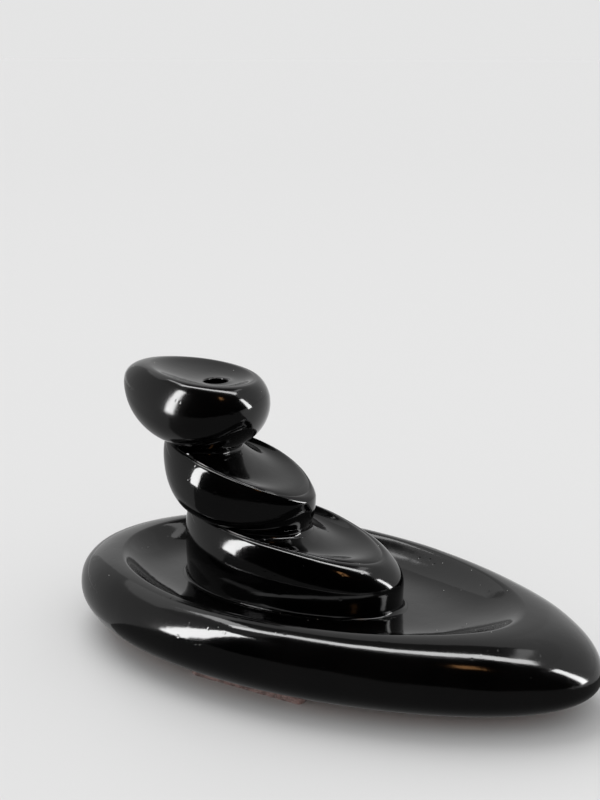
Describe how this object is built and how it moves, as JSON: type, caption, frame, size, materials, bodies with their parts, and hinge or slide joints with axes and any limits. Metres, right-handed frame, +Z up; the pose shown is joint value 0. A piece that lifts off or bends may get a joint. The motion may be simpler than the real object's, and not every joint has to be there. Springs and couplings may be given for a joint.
{
  "type": "incense burner",
  "caption": "Glossy black ceramic backflow incense burner: stacked scooped pebbles on an almond dish with a rolled rim, a cone seat in the top pebble and a felt pad underneath.",
  "frame": {"origin": "centre of the dish's outline, on the surface the burner stands on", "axes": "+X toward the pointed tip of the dish, +Z up"},
  "size_m": [0.13, 0.0694, 0.0642],
  "materials": {
    "glaze": "high gloss",
    "slip": "high gloss",
    "felt": "matt"
  },
  "bodies": {
    "root": {"base_dish": "glaze", "lower_stone": "glaze", "middle_stone": "glaze", "top_stone": "glaze", "lower_slip_bead": "slip", "middle_slip_bead": "slip", "top_slip_bead": "slip", "felt_pad": "felt"}
  },
  "joints": []
}
